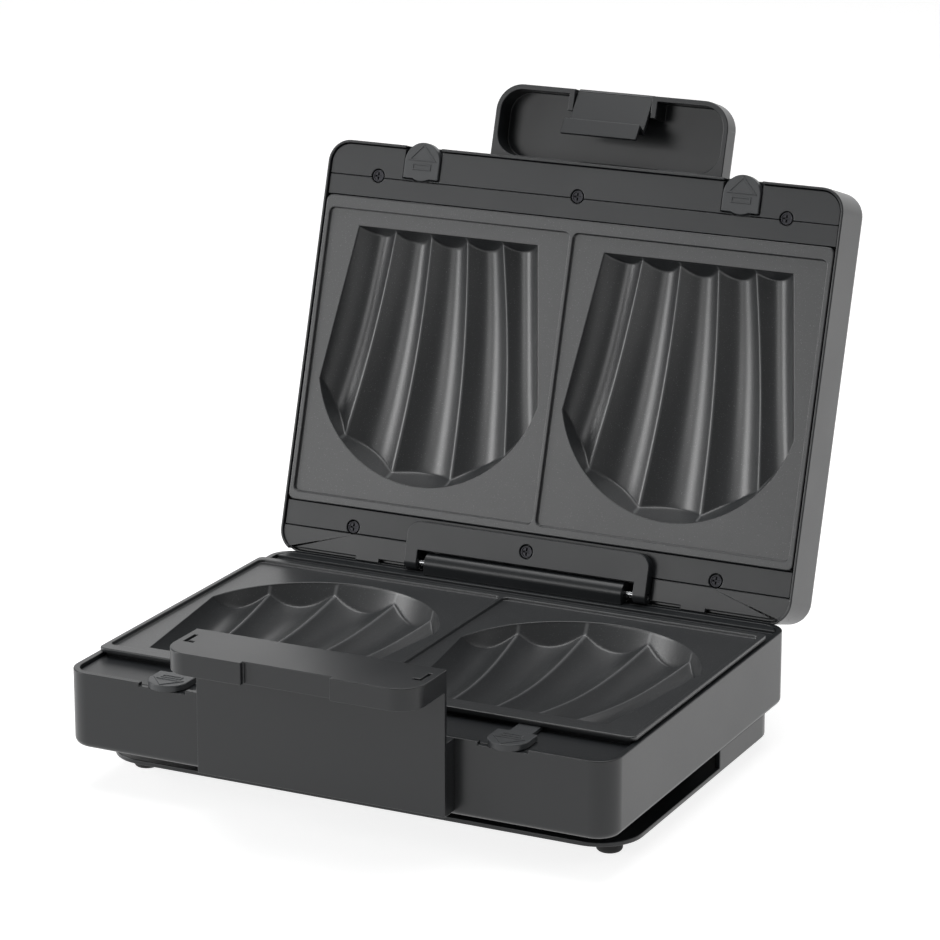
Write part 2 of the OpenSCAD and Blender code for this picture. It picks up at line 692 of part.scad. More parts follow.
// Panel on the front of the base, and the handle that stands out from its top
module base_handle() {
    back = -panel_out + panel_t;
    rib_t = 1.8;
    slot_w = 1.6;
    slot_len = 9;
    slot_foot = 4.4;
    slot_depth = 1.2;
    color("#3a3e42") base_pose() difference() {
        union() {
            translate([-grip_w / 2, -panel_out, panel_z]) cube([grip_w, panel_out, zt - panel_z]);
            translate([-grip_w / 2, -panel_out, zt - 0.01]) cube([grip_w, panel_t, grip_bottom - zt + 0.02]);
            difference() {
                slab(grip_w, -grip_reach, back, grip_bottom, grip_top, grip_corner_r);
                slab(grip_w - 2 * grip_skirt, -grip_reach + grip_skirt + clip_recess, back - panel_t,
                    grip_bottom - over, grip_top - grip_skirt, grip_corner_r - grip_skirt);
            }
            translate([-grip_w / 2, back - grip_corner_r, grip_bottom]) cube([grip_w, grip_corner_r, grip_t]);
            for (x = [-1 : 1]) translate([x * grip_w / 3 - rib_t / 2, -grip_reach + 4, grip_bottom + 1])
                cube([rib_t, grip_reach - panel_out - 4, grip_t - 1.5]);
        }
        // the panel is hollow behind its face, down to the housing wall
        translate([-grip_w / 2 + panel_t, -panel_out + panel_t, panel_z + panel_t])
            cube([grip_w - 2 * panel_t, panel_out, zt - panel_z - 3 * panel_t]);
        // recess that the clip lies in
        translate([-slot_half - 1, -grip_reach - over, grip_bottom - over])
            cube([2 * slot_half + 2, clip_recess + over, grip_t + 2 * over]);
        // an angled slot near each end
        for (side = [0, 1]) mirror([side, 0, 0])
            translate([-grip_w / 2 + 3.6 - slot_w / 2, back - 16, grip_top - slot_depth]) {
                cube([slot_w, slot_len, slot_depth + over]);
                cube([slot_foot, slot_w, slot_depth + over]);
            }
    }
}

module hinge_block() {
    color("#3a3e42") base_pose() difference() {
        union() {
            bar(barrel_r, barrel_len, hinge_y, hinge_z);
            translate([-barrel_len / 2, hinge_y - barrel_r, zt])
                cube([barrel_len, barrel_r + hinge_inset, hinge_rise]);
        }
        bar(pin_d / 2 + 0.02, barrel_len + 2 * over, hinge_y, hinge_z);
        // its foot ends on the rear strip
        translate([-base_w, 0, 0]) cube([2 * base_w, far, zt]);
    }
}

module hinge_pin() {
    color("#a9acb0") base_pose() bar(pin_d / 2, 2 * (window_half + arm_w) - 1, hinge_y, hinge_z);
}

terminal_at = [cord_x - 26, base_d - base_wall - 12];
terminal_size = [30, 10, 9];
terminal_pitch = 9;

module terminal_block() {
    color("#d8d4c8") base_pose() translate([terminal_at.x, terminal_at.y, floor_top]) difference() {
        translate([-terminal_size.x / 2, -terminal_size.y / 2, 0]) cube(terminal_size);
        for (i = [-1 : 1]) translate([i * terminal_pitch, 0, terminal_size.z / 2]) rotate([90, 0, 0])
            cylinder(r = 2, h = terminal_size.y + 2 * over, center = true);
    }
}

module thermostat() {
    color("#caa54a") base_pose() lower() translate([0, reflector_y0 + 8.4, -sheet_in]) {
        cylinder(r = 7, h = 6);
        for (x = [-3, 3]) translate([x - 0.4, -5, 1]) cube([0.8, 10, 7]);
    }
}

module thermal_fuse() {
    color("#c8c8c2") base_pose() lower() translate([24, reflector_y0 + 4.1, -sheet_in + 2])
        rotate([0, 90, 0]) {
        cylinder(r = 2, h = 12);
        translate([0, 0, -10]) cylinder(r = 0.5, h = 32);
    }
}

module cord_gland() {
    collar_t = 2;
    color("#2c2f32") base_pose() translate([cord_x, base_d - base_wall - collar_t, cord_z])
        rotate([-90, 0, 0]) difference() {
            union() {
                cylinder(r = gland_r, h = base_wall + 2 * collar_t);
                cylinder(r = gland_r + 1.5, h = collar_t);
                translate([0, 0, base_wall + collar_t]) cylinder(r1 = gland_r + 1.5, r2 = gland_r, h = 3);
            }
            translate([0, 0, -over]) cylinder(r = cord_hole_r, h = base_wall + 2 * collar_t + 3);
        }
}

module lower_left_catch() color("#43474b") base_pose() lower() at_catch(-1) plate_catch(lower_button_top);
module lower_right_catch() color("#43474b") base_pose() lower() at_catch(1) plate_catch(lower_button_top);
lower_button_top = -1.2;

module lower_catch_springs() {
    color("#9a9da1") base_pose() lower() for (side = [-1, 1]) at_catch(side) catch_spring();
}

module lower_plate() color("#2f3236") base_pose() lower() cooking_plate();

// ---- lid ----

band_z = lid_z + trim_drop;
rebate_w = lid_w - 2 * lid_rim_t;
inner_w = lid_w - 2 * lid_wall;
inner_y0 = lid_front_y + lid_wall;
inner_y1 = lid_back_y - lid_wall;
frame_t = 2.5;
knuckle_r = hinge_rise - 0.7;
parting_gap = 0.2;
parting_y = lid_front_y + lid_rim_t + trim_d + parting_gap;
rear_parting_y = base_d - 10;
strip_back_y = base_d;
strap_t = 1.5;                        // upright strap that joins the rear strip to the back wall
shell_boss_z = seat_z + frame_t;
shell_ceiling = lid_top - lid_wall;
// Where the rear edge of the base meets the stop ribs of the open lid
stop_gap = 0.02;
stop_y = hinge_y + hinge_inset * cos(open_angle) + hinge_rise * sin(open_angle) - stop_gap;
front_screw_at = [for (s = [-1 : 1]) [s * base_w * 0.398, parting_y - 0.7]];
rear_screw_at = [for (s = [-1, 1]) [s * base_w * 0.356, rear_parting_y - 2.8]];
cover_screw_at = [[0, hinge_y - 11.7]];

// Everything of the lid that the barrel and the knuckles turn in
module hinge_room(half) {
    bar(barrel_r + move_gap, 2 * half, hinge_y, hinge_z);
    translate([-half, hinge_y - barrel_r - move_gap, zt - over])
        cube([2 * half, far, hinge_rise + barrel_r + move_gap + over]);
}

module lid_shell() {
    half = window_half + arm_w + fit_gap;
    color("#3a3e42") lid_pose() {
        difference() {
            translate([0, lid_front_y, lid_top]) mirror([0, 0, 1])
                tub(lid_w, lid_d, lid_h, corner_r, lid_edge_r);
            slab(inner_w, inner_y0, inner_y1, lid_z - over, shell_ceiling, corner_r - lid_wall);
            slab(rebate_w, lid_front_y + lid_rim_t, lid_back_y - lid_rim_t, lid_z - over, seat_z,
                corner_r - lid_rim_t);
            for (side = [-1, 1]) upper() at_catch(side) catch_room(1);
            hinge_room(window_half);
            translate([-half, hinge_y - knuckle_r - fit_gap, zt])
                cube([2 * half, far, hinge_rise + knuckle_r + fit_gap]);
            for (x = [-1, 1] * handle_screw_x) translate([x, handle_screw_y, shell_ceiling - over])
                cylinder(r = screw_hole_r, h = lid_wall + 2 * over);
            // the back wall starts behind the rim, so that it clears the rear edge of the base
            translate([-back_recess_half, strip_back_y, lid_z - over])
                cube([2 * back_recess_half, far, back_recess + over]);
        }
        difference() {
            intersection() {
                slab(rebate_w + 0.02, 0, lid_back_y, band_z, shell_boss_z, corner_r - lid_rim_t);
                translate([-base_w, rear_parting_y + parting_gap, 0])
                    cube([2 * base_w, strip_back_y - rear_parting_y - parting_gap + 0.01, far]);
            }
            slab(inner_w, 0, inner_y1 - strap_t, seat_z - fit_gap, far, corner_r - lid_wall);
            translate([-half, 0, 0]) cube([2 * half, far, far]);
            screw_seats();
        }
        for (x = [-1, 1] * base_w * 0.32)
            translate([x - stop_w / 2, strip_back_y - strap_t, band_z])
                cube([stop_w, stop_y - strip_back_y + strap_t, lid_z + back_recess - band_z + 0.01]);
        for (p = concat(front_screw_at, rear_screw_at, cover_screw_at))
            translate([p.x, p.y, shell_boss_z]) difference() {
                cylinder(r = post_r, h = shell_ceiling - shell_boss_z + 0.01);
                translate([0, 0, -over]) cylinder(r = pilot_r, h = 16);
            }
        for (p = sheet_post_at) translate([p.x, p.y, lid_z + sheet_in + sheet_t])
            cylinder(r = post_r, h = shell_ceiling - lid_z - sheet_in - sheet_t + 0.01);
    }
}
handle_screw_x = 40;
handle_screw_y = 6;
back_recess_half = (lid_w - corner_r) / 2;

module screw_seats() {
    for (p = concat(front_screw_at, rear_screw_at)) translate([p.x, p.y, 0]) {
        translate([0, 0, lid_z - over]) cylinder(r = screw_head_d / 2 + 0.3, h = trim_drop + over + 2.3);
        translate([0, 0, lid_z]) cylinder(r = screw_hole_r, h = 12);
    }
    translate([cover_screw_at[0].x, cover_screw_at[0].y, zt]) cylinder(r = screw_hole_r, h = 16);
}

module lid_front_trim() {
    color("#55595e") lid_pose() difference() {
        union() {
            intersection() {
                slab(rebate_w - 2 * fit_gap, lid_front_y + lid_rim_t + fit_gap, 2 * parting_y, band_z, seat_z,
                    corner_r - lid_rim_t - fit_gap);
                translate([-base_w, -over, 0]) cube([2 * base_w, over + parting_y, far]);
            }
            intersection() {
                slab(inner_w - 2 * fit_gap, inner_y0 + fit_gap, 2 * parting_y, seat_z - 0.01, shell_boss_z,
                    corner_r - lid_wall - fit_gap);
                translate([-base_w, -over, 0]) cube([2 * base_w, over + parting_y, far]);
            }
            upper() for (side = [-1, 1]) at_catch(side) catch_lug(-plate_rise - frame_t + 0.01);
        }
        upper() for (side = [-1, 1]) at_catch(side) {
            catch_room(1);
            keel_slot();
        }
        screw_seats();
    }
}

module lid_frame() {
    hole_w = plate_w - 2 * (neck_inset + seat_w);
    front_y = parting_y + parting_gap;
    color("#55595e") lid_pose() difference() {
        union() {
            intersection() {
                slab(inner_w - 2 * fit_gap, inner_y0 + fit_gap, inner_y1 - strap_t - fit_gap,
                    seat_z, shell_boss_z, corner_r - lid_wall - fit_gap);
                translate([-base_w, front_y, 0]) cube([2 * base_w, far, far]);
            }
            // the bands before and behind the plate, each with a core that joins it to the part above
            for (y = [[front_y, plate_front_y - fit_gap], [plate_back_y + fit_gap, rear_parting_y]]) {
                translate([-rebate_w / 2 + fit_gap, y[0], band_z])
                    cube([rebate_w - 2 * fit_gap, y[1] - y[0], seat_z - band_z]);
                translate([-inner_w / 2 + corner_r, y[0] + 0.5, seat_z - 0.5])
                    cube([inner_w - 2 * corner_r, y[1] - y[0] - 1, 1]);
            }
        }
        slab(hole_w, plate_front_y + neck_inset + seat_w, plate_back_y - neck_inset - seat_w, seat_z - over,
            shell_boss_z + over, 6);
        for (side = [-1, 1]) upper() at_catch(side) catch_room(1);
        hinge_room(window_half + arm_w + fit_gap);
        screw_seats();
    }
}

module hinge_cover() {
    half = window_half + arm_w;
    y0 = hinge_y - cover_reach;
    arm_top = hinge_z + knuckle_r;
    color("#4b4f54") lid_pose() difference() {
        union() {
            intersection() {
                slab(2 * half, y0, y0 + 2 * cover_reach, hinge_z - knuckle_r, band_z, 6);
                translate([-half, y0, 0]) cube([2 * half, cover_reach, far]);
            }
            for (side = [0, 1]) mirror([side, 0, 0]) {
                translate([window_half, hinge_y, hinge_z]) rotate([0, 90, 0])
                    cylinder(r = knuckle_r, h = arm_w);
                translate([window_half, rear_parting_y + 0.3, hinge_z - knuckle_r])
                    cube([arm_w, hinge_y - rear_parting_y - 0.3, seat_z - hinge_z + knuckle_r]);
            }
        }
        hinge_room(window_half);
        bar(pin_d / 2 + pin_gap, 2 * half + 2 * over, hinge_y, hinge_z);
        screw_seats();
        translate([cover_screw_at[0].x, cover_screw_at[0].y, zt])
            cylinder(r = screw_head_d / 2 + 0.3, h = hinge_rise - knuckle_r + screw_head_h + 0.3);
    }
}

module upper_reflector() color("#b9bcc0") lid_pose() upper() reflector();

module upper_heating_element() color("#7d7f82") lid_pose() upper() heating_element();

lamp_x = 11;
lamp_r = 3.5;
ramp_y = [4, 28];
ramp_angle = atan((handle_top - lid_top) / (ramp_y[1] - ramp_y[0]));

module lamp_frame(x) {
    translate([x, (ramp_y[0] + ramp_y[1]) / 2, (handle_top + lid_top) / 2])
        rotate([-ramp_angle, 0, 0]) children();
}

// Cup that faces down over the base handle, with a root that wraps on to the lid's outer face
module lid_handle() {
    cup_top = handle_top - 2;
    cheek_t = 2.8;
    cheek_len = 10;
    clip_room_h = 7.2;
    color("#3a3e42") lid_pose() difference() {
        intersection() {
            translate([0, -handle_reach, handle_top]) mirror([0, 0, 1]) tub(handle_w,
                handle_reach + ramp_y[1] + handle_corner_r, 2 * handle_h, handle_corner_r, handle_edge_r);
            translate([handle_w / 2, 0, 0]) rotate([90, 0, -90]) linear_extrude(handle_w) polygon([
                [handle_reach, handle_z], [-lid_front_y, handle_z], [-lid_front_y, lid_top],
                [-ramp_y[1], lid_top], [-ramp_y[0], handle_top], [handle_reach, handle_top]]);
        }
        difference() {
            slab(handle_w - 2 * handle_wall, -handle_reach + handle_wall, lid_front_y - handle_wall,
                handle_z - over, cup_top, handle_corner_r - handle_wall);
            for (side = [0, 1]) mirror([side, 0, 0]) translate([slot_half, -handle_reach, handle_z])
                cube([cheek_t, cheek_len, handle_h]);
        }
        translate([-slot_half, -handle_reach - over, handle_z - over])
            cube([2 * slot_half, handle_wall + 4, clip_room_h + over]);
        bar(clip_pin_r + 0.02, 2 * slot_half + 5, clip_pin_y, clip_pin_z);
        for (x = [-1, 1] * lamp_x) lamp_frame(x) translate([0, 0, -3]) cylinder(r = lamp_r + 0.05, h = 10);
        for (x = [-1, 1] * handle_screw_x) translate([x, handle_screw_y, lid_top - over])
            cylinder(r = pilot_r, h = 5);
    }
}

module lamp_lens(x) {
    lid_pose() lamp_frame(x) translate([0, 0, -3]) {
        cylinder(r = lamp_r, h = 3.2);
        translate([0, 0, 3.2]) cylinder(r1 = lamp_r, r2 = lamp_r - 0.8, h = 0.8);
    }
}

module red_lamp_lens() color("#c02a22") lamp_lens(-lamp_x);
module green_lamp_lens() color("#2f9a45") lamp_lens(lamp_x);

module lid_screws() {
    color("#26282a") lid_pose() {
        for (p = concat(front_screw_at, rear_screw_at)) translate([p.x, p.y, band_z + 0.3])
            mirror([0, 0, 1]) screw(16);
        translate([cover_screw_at[0].x, cover_screw_at[0].y, hinge_z - knuckle_r + 0.3])
            mirror([0, 0, 1]) screw(20);
        for (x = [-1, 1] * handle_screw_x) translate([x, handle_screw_y, shell_ceiling - screw_head_h])
            mirror([0, 0, 1]) screw(8);
    }
}

module upper_left_catch() color("#55595e") lid_pose() upper() at_catch(-1) plate_catch(0);
module upper_right_catch() color("#55595e") lid_pose() upper() at_catch(1) plate_catch(0);

module upper_catch_springs() {
    color("#9a9da1") lid_pose() upper() for (side = [-1, 1]) at_catch(side) catch_spring();
}

module upper_plate() color("#2f3236") lid_pose() upper() cooking_plate();

// ---- latch, drawn locked: the clip hangs from its pin in the base handle's recess ----

module latch_clip() {
    hook_z = grip_bottom - 0.3;
    plate_end = clip_pin_z - clip_len;
    outer_y = clip_face_y - clip_t;
    hook_t = 1.8;
    hook_reach = 2.2;
    tab_t = 1.6;
    tab_out = 5.5;
    tab_len = 6;
    color("#55595e") lid_pose() translate([0, clip_pin_y, clip_pin_z]) rotate([90 - clip_rest, 0, 0])
        translate([0, -clip_pin_y, -clip_pin_z]) difference() {
            union() {
                bar(clip_barrel_r, clip_w, clip_pin_y, clip_pin_z);
                translate([-clip_w / 2, outer_y, plate_end]) cube([clip_w, clip_t, clip_len]);
                translate([-clip_w / 2 + 2, outer_y, hook_z - hook_t])
                    cube([clip_w - 4, clip_t + hook_reach, hook_t]);
                translate([-clip_w / 2, outer_y - tab_out + 0.01, plate_end]) cube([clip_w, tab_out, tab_t]);
                translate([-clip_w / 2, outer_y - tab_out, plate_end - tab_len])
                    cube([clip_w, tab_t, tab_len + tab_t]);
            }
            bar(clip_pin_r + pin_gap, clip_w + 2 * over, clip_pin_y, clip_pin_z);
        }
}

module latch_pin() color("#a9acb0") lid_pose() bar(clip_pin_r, 2 * slot_half + 4.6, clip_pin_y, clip_pin_z);

base_housing();
base_deck();
lower_reflector();
lower_heating_element();
undertray();
feet();
base_handle();
hinge_block();
hinge_pin();
terminal_block();
thermostat();
thermal_fuse();
cord_gland();
undertray_screws();
deck_screws();
lower_left_catch();
lower_right_catch();
lower_catch_springs();
lower_plate();
lid_shell();
lid_front_trim();
lid_frame();
hinge_cover();
upper_reflector();
upper_heating_element();
lid_handle();
lid_screws();
red_lamp_lens();
green_lamp_lens();
upper_left_catch();
upper_right_catch();
upper_catch_springs();
upper_plate();
latch_clip();
latch_pin();
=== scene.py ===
import json
import math

import bmesh
import bpy
from mathutils import Matrix, Vector
from mathutils.geometry import tessellate_polygon


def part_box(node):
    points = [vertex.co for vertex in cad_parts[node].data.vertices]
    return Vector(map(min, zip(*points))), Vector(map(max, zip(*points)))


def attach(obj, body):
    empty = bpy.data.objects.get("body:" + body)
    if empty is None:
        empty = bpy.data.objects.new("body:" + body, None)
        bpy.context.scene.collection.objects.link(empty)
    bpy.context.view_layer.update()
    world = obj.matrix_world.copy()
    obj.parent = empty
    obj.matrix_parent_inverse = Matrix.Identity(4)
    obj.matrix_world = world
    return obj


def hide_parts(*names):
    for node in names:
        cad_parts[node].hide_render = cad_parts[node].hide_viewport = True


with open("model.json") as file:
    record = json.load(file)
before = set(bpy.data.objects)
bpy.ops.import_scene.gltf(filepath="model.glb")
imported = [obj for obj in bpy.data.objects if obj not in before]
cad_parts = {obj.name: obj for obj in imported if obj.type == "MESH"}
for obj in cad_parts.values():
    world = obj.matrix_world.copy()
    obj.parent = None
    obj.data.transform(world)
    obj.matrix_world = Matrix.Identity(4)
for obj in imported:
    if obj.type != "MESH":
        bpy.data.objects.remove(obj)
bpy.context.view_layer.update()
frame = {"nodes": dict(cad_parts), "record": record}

# Twin sandwich toaster with shell-shaped pockets, standing with its lid open. Lengths are in metres.
# "Closed" places are those of the closed lid: x from the middle, y from the front wall of the base, z from
# the table top. LID turns them to where the open lid stands.

MM = 0.001

# ---- driving sizes, the same as the part's ----

OPEN_ANGLE = math.radians(107)
RIM_GAP = 4.7 * MM
PLATE_FRONT_Y = 24.9 * MM
PLATE_D = 140.4 * MM
PLATE_CORNER_R = 3 * MM
FLANGE_T = 2 * MM
PLATE_RISE = 4.2 * MM
NECK_INSET = 2.5 * MM
RIM_FRONT_W = 5.8 * MM
RIM_SIDE_W = 2.4 * MM
DIVIDER_W = 2 * MM
CELL_DROP = 1.5 * MM
CELL_CORNER_R = 2.5 * MM

POCKET_R = 56.5 * MM
POCKET_FRONT_W = 89.4 * MM
POCKET_BACK_MARGIN = 9.4 * MM
POCKET_LEN = 114 * MM
POCKET_ARC_HALF = math.radians(76.3)
RIDGE_FRONT = 2 * MM
RIDGE_BACK = 4 * MM
RIDGE_SAG = 5 * MM
OUTER_RIDGE_SHARE = 0.75
FLUTES = 5
FLUTE_DEPTH = 5.5 * MM
POCKET_WALL = 2.5 * MM
END_WALL = 0.06  # share of a pocket's length that its end walls slope over

CATCH_X = 77.8 * MM
CATCH_OUT = 2.5 * MM

# ---- places read from the frame ----

BODY_OF = {node: body for body, nodes in frame["record"]["behaviour"]["bodies"].items() for node in nodes}
FRONT_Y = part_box("base_housing")[0].y
RIM_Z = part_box("base_housing")[1].z
LOWER_RIM_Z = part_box("lower_plate")[1].z
PLATE_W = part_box("lower_plate")[1].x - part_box("lower_plate")[0].x
HINGE = sum(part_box("hinge_pin"), Vector()) / 2

BASE = Matrix.Translation((0, FRONT_Y, 0))
LID = (Matrix.Translation(HINGE) @ Matrix.Rotation(-OPEN_ANGLE, 4, "X") @ Matrix.Translation(-HINGE)) @ BASE
LOWER = BASE @ Matrix.Translation((0, 0, LOWER_RIM_Z))
UPPER = LID @ Matrix.Translation((0, 0, RIM_Z + RIM_GAP)) @ Matrix.Diagonal((1, 1, -1, 1))


# ---- node trees ----

class Graph:
    """A node tree that is being built."""

    def __init__(self, tree):
        self.tree = tree

    def node(self, kind, settings=None, inputs=None, out=0):
        """Adds a node with its settings, and its inputs by name or number. Gives one of its outputs."""
        made = self.tree.nodes.new(kind)
        for name, value in (settings or {}).items():
            setattr(made, name, value)
        for name, value in (inputs or {}).items():
            if isinstance(value, (Value, list)):
                for each in value if isinstance(value, list) else [value]:
                    self.tree.links.new(each.socket, made.inputs[name])
            else:
                made.inputs[name].default_value = value
        return Value(self, made.outputs[out])


class Value:
    """An output of a node, with plain arithmetic. Each operation adds one Math node."""

    def __init__(self, graph, socket):
        self.graph = graph
        self.socket = socket

    def math(self, operation, first, second):
        return self.graph.node("ShaderNodeMath", {"operation": operation}, {0: first, 1: second})

    def __add__(self, other):
        return self.math("ADD", self, other)

    def __radd__(self, other):
        return self.math("ADD", other, self)

    def __sub__(self, other):
        return self.math("SUBTRACT", self, other)

    def __mul__(self, other):
        return self.math("MULTIPLY", self, other)

    def above(self, level, width):
        """0 under level, 1 over level + width, and a smooth step between."""
        return self.graph.node("ShaderNodeMapRange", {"interpolation_type": "SMOOTHSTEP"},
                               {"Value": self, "From Min": level, "From Max": level + width})


def noise(graph, place, per_metre, detail=2.0, rough=0.5):
    return graph.node("ShaderNodeTexNoise", {},
                      {"Vector": place, "Scale": per_metre, "Detail": detail, "Roughness": rough})


def mixed(graph, share, dark, light):
    return graph.node("ShaderNodeMix", {"data_type": "RGBA"}, {0: share, 6: dark, 7: light}, out=2)


def grey(level, tint=0.0):
    """A neutral colour as it shows on a screen, 0 to 255, made a little bluer by tint."""
    def linear(value):
        share = value / 255
        return share / 12.92 if share <= 0.04045 else ((share + 0.055) / 1.055) ** 2.4
    return (linear(level - tint), linear(level), linear(level + tint), 1.0)


def material(name, build):
    """A material whose build function takes a Graph and gives the shader."""
    made = bpy.data.materials.new(name)
    made.use_nodes = True
    made.node_tree.nodes.clear()
    graph = Graph(made.node_tree)
    surface = build(graph)
    out = made.node_tree.nodes.new("ShaderNodeOutputMaterial")
    made.node_tree.links.new(surface.socket, out.inputs["Surface"])
    return made


def object_place(graph):
    return graph.node("ShaderNodeTexCoord", out="Object")


def principled(graph, inputs):
    return graph.node("ShaderNodeBsdfPrincipled", {}, inputs)


def bumped(graph, height, strength, distance):
    return graph.node("ShaderNodeBump", {}, {"Strength": strength, "Distance": distance, "Height": height})


# ---- materials ----

def moulded(name, dark, light, roughness, grain=0.12, shine=0.5):
    """Moulded plastic: a slow drift of tone, a fine spark-eroded grain, and a drift of gloss."""
    def build(graph):
        place = object_place(graph)
        drift = noise(graph, place, 26, 3)
        fleck = noise(graph, place, 1500, 2, 0.6)
        tone = mixed(graph, drift * 0.8 + fleck * 0.2, grey(dark, 2), grey(light, 2))
        return principled(graph, {
            "Base Color": tone,
            "Roughness": roughness + (drift - 0.5) * 0.1 + (fleck - 0.5) * 0.08,
            "Specular IOR Level": shine,
            "Normal": bumped(graph, fleck, grain, 0.1 * MM)})
    return material(name, build)


def coated(name, dark, light, roughness):
    """Sprayed non-stick coating: fine light specks in a dark satin coat with a sandy surface, and a painted
    highlight on the ridge tops that the mesh marks.
    """
    def build(graph):
        place = object_place(graph)
        drift = noise(graph, place, 20, 3)
        sand = noise(graph, place, 1300, 3, 0.65)
        speck = noise(graph, place, 2100, 1).above(0.66, 0.08)
        tone = mixed(graph, drift * 0.6 + sand * 0.4, grey(dark, 2), grey(light, 1))
        tone = mixed(graph, speck * 0.25, tone, grey(150, 1))
        # painted highlight: the ridge tops marked in the mesh are lightened towards grey 128, standing in
        # for the light they catch
        crest_highlight = graph.node("ShaderNodeAttribute", {"attribute_name": "crest_highlight"}, out="Fac")
        tone = mixed(graph, crest_highlight * 0.45, tone, grey(128, 1))
        return principled(graph, {
            "Base Color": tone,
            "Roughness": roughness + (sand - 0.5) * 0.16 + (drift - 0.5) * 0.05,
            "Metallic": 0.0,
            "Specular IOR Level": 0.75,
            "Normal": bumped(graph, sand, 0.22, 0.12 * MM)})
    return material(name, build)


def metal(name, colour, roughness, streak):
    """Drawn or rolled metal: fine streaks across x in its colour and gloss."""
    def build(graph):
        place = object_place(graph)
        stretched = graph.node("ShaderNodeVectorMath", {"operation": "MULTIPLY"},
                               {0: place, 1: (streak, 900.0, 900.0)})
        lines = noise(graph, stretched, 1.0, 3)
        darker = tuple(0.7 * part for part in colour[:3]) + (1.0,)
        return principled(graph, {
            "Base Color": mixed(graph, lines, darker, colour),
            "Metallic": 1.0,
            "Roughness": roughness + (lines - 0.5) * 0.2,
            "Normal": bumped(graph, lines, 0.1, 0.05 * MM)})
    return material(name, build)


def rubber(name):
    def build(graph):
        place = object_place(graph)
        dust = noise(graph, place, 300, 4)
        return principled(graph, {
            "Base Color": mixed(graph, dust, grey(30), grey(44)),
            "Roughness": 0.72 + (dust - 0.5) * 0.2,
            "Normal": bumped(graph, dust, 0.2, 0.1 * MM)})
    return material(name, build)


def lens(name, deep, bright):
    """Tinted plastic with a cloudy depth and a glossy face."""
    def build(graph):
        place = object_place(graph)
        cloud = noise(graph, place, 700, 2)
        return principled(graph, {
            "Base Color": mixed(graph, cloud, deep, bright),
            "Roughness": 0.12 + cloud * 0.1,
            "Coat Weight": 0.3 + cloud * 0.2,
            "Normal": bumped(graph, cloud, 0.05, 0.1 * MM)})
    return material(name, build)


HOUSING = moulded("housing_plastic", 31, 36, 0.32)
TRIM = moulded("trim_plastic", 36, 41, 0.36)
CATCH = moulded("catch_plastic", 62, 69, 0.4)
CLIP = moulded("clip_plastic", 36, 41, 0.36)
COATING = coated("nonstick_coating", 42, 54, 0.35)
RUBBER = rubber("foot_rubber")
BLACK_STEEL = metal("blackened_steel", (0.05, 0.05, 0.055, 1.0), 0.42, 900.0)
STEEL = metal("bright_steel", (0.6, 0.61, 0.62, 1.0), 0.25, 40.0)
SHEATH = metal("heater_sheath", (0.22, 0.22, 0.23, 1.0), 0.5, 60.0)
SHEET = metal("aluminium_sheet", (0.78, 0.79, 0.8, 1.0), 0.3, 30.0)
BRASS = metal("brass", (0.72, 0.5, 0.22, 1.0), 0.3, 60.0)
CREAM = moulded("terminal_plastic", 205, 214, 0.5, 0.05)
RED = lens("red_lens", (0.25, 0.005, 0.004, 1.0), (0.6, 0.02, 0.015, 1.0))
GREEN = lens("green_lens", (0.01, 0.16, 0.03, 1.0), (0.03, 0.4, 0.08, 1.0))


# ---- pieces ----

def piece(name, bm, finish, body, slot, *nodes):
    """Makes an object of a bmesh, gives it its finish, and lets it ride on a body in place of CAD nodes."""
    mesh = bpy.data.meshes.new(name)
    bm.to_mesh(mesh)
    bm.free()
    mesh.materials.append(finish)
    made = bpy.data.objects.new(name, mesh)
    bpy.context.scene.collection.objects.link(made)
    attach(made, body)
    if nodes:
        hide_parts(*nodes)
    return made


def eased(node, finish, slot, edge=0.35 * MM, sharp=28):
    """A CAD node whose flat faces are joined and whose sharp edges get a small round."""
    bm = bmesh.new()
    bm.from_mesh(frame["nodes"][node].data)
    bmesh.ops.remove_doubles(bm, verts=bm.verts, dist=0.005 * MM)
    bmesh.ops.dissolve_limit(bm, angle_limit=math.radians(0.6), verts=bm.verts, edges=bm.edges)
    for face in bm.faces:
        face.smooth = True
    return softened(piece(node + "_dressed", bm, finish, BODY_OF[node], slot, node), edge, sharp)


def softened(made, edge, sharp):
    """Gives a small round to every edge sharper than an angle, and keeps the flat faces flat."""
    made.data.set_sharp_from_angle(angle=math.radians(sharp))
    bevel = made.modifiers.new("edge", "BEVEL")
    bevel.width = edge
    bevel.segments = 3
    bevel.limit_method = "ANGLE"
    bevel.angle_limit = math.radians(sharp)
    bevel.use_clamp_overlap = False
    level = made.modifiers.new("level", "WEIGHTED_NORMAL")
    level.weight = 100
    level.keep_sharp = True
    return made


# ---- cooking plates ----

def lerp(a, b, t):
    return a + (b - a) * t


CELL_IN = DIVIDER_W / 2
CELL_OUT = PLATE_W / 2 - RIM_SIDE_W
CELL_X = (CELL_IN + CELL_OUT) / 2
PLATE_BACK_Y = PLATE_FRONT_Y + PLATE_D
CELL_FRONT_Y = PLATE_FRONT_Y + RIM_FRONT_W
CELL_BACK_Y = PLATE_BACK_Y - RIM_FRONT_W / 2 - 1 * MM
POCKET_BACK_Y = CELL_BACK_Y - POCKET_BACK_MARGIN
POCKET_FRONT_Y = POCKET_BACK_Y - POCKET_LEN
POCKET_CY = POCKET_BACK_Y - POCKET_R
FLUTE_PITCH = 2 / FLUTES
RIDGE_ROUND = 0.035   # softening of a ridge's crest, as a share of half a flute
CREST_HIGHLIGHT_SHARE = 0.05    # how far the painted highlight on a ridge's top reaches on both sides of it, as a share of half a flute
WALL_STEEP = 1.66     # fall of a pocket's end walls, as height over length
WALL_BLEND = 0.8 * MM  # round where an end wall meets the flutes
BELLY_WALL = 0.03     # share of a pocket's length that the belly's end walls slope over
BELLY_CURVE = 1.8     # how fully a belly's end wall rounds into its floor
BELLY_EDGE = 0.1      # share of half a pocket's width that the belly's sides slope over
BELLY_SHARE = 0.9     # how much of a flute's depth the belly follows
